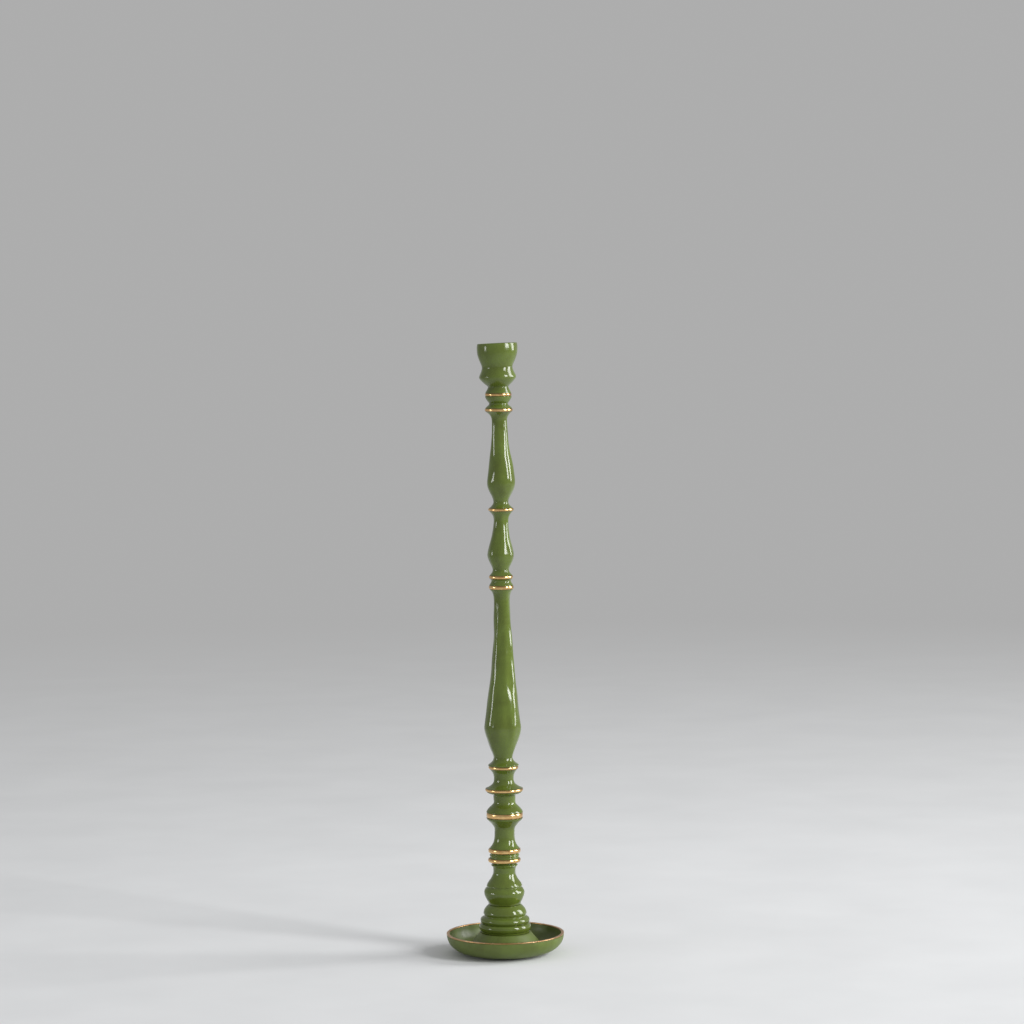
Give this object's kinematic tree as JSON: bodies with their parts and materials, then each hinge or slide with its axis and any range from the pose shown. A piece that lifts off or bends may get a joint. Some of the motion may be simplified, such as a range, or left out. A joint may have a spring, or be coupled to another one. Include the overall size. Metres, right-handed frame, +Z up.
{
  "type": "candlestick",
  "caption": "Tall slender turned candlestick in green enamel with brass rings, a flared cup for one taper candle and a round drip dish as its foot.",
  "frame": {"origin": "centre of the felt pad's underside, on the table", "axes": "+Z up along the stem to the cup, +X and +Y level; the piece is round about Z"},
  "size_m": [0.1154, 0.1154, 0.6],
  "materials": {
    "green_enamel": "thick glossy apple-green enamel over cast metal",
    "polished_brass": "polished brass, bare",
    "plated_steel": "zinc-plated steel",
    "green_felt": "pressed wool felt"
  },
  "bodies": {
    "root": {"candle_cup": "green_enamel", "brass_ring_1": "polished_brass", "upper_collar": "green_enamel", "brass_ring_2": "polished_brass", "upper_baluster": "green_enamel", "brass_ring_3": "polished_brass", "middle_baluster": "green_enamel", "brass_ring_4": "polished_brass", "bead_collar": "green_enamel", "brass_ring_5": "polished_brass", "long_baluster": "green_enamel", "brass_ring_6": "polished_brass", "upper_spool": "green_enamel", "brass_ring_7": "polished_brass", "lower_spool": "green_enamel", "brass_ring_8": "polished_brass", "column": "green_enamel", "brass_ring_9": "polished_brass", "ribbed_collar": "green_enamel", "brass_ring_10": "polished_brass", "pedestal": "green_enamel", "stepped_foot": "green_enamel", "dish": "green_enamel", "dish_rim_band": "polished_brass", "tie_rod": "plated_steel", "washer": "plated_steel", "hex_nut": "plated_steel", "felt_pad": "green_felt"}
  },
  "joints": []
}
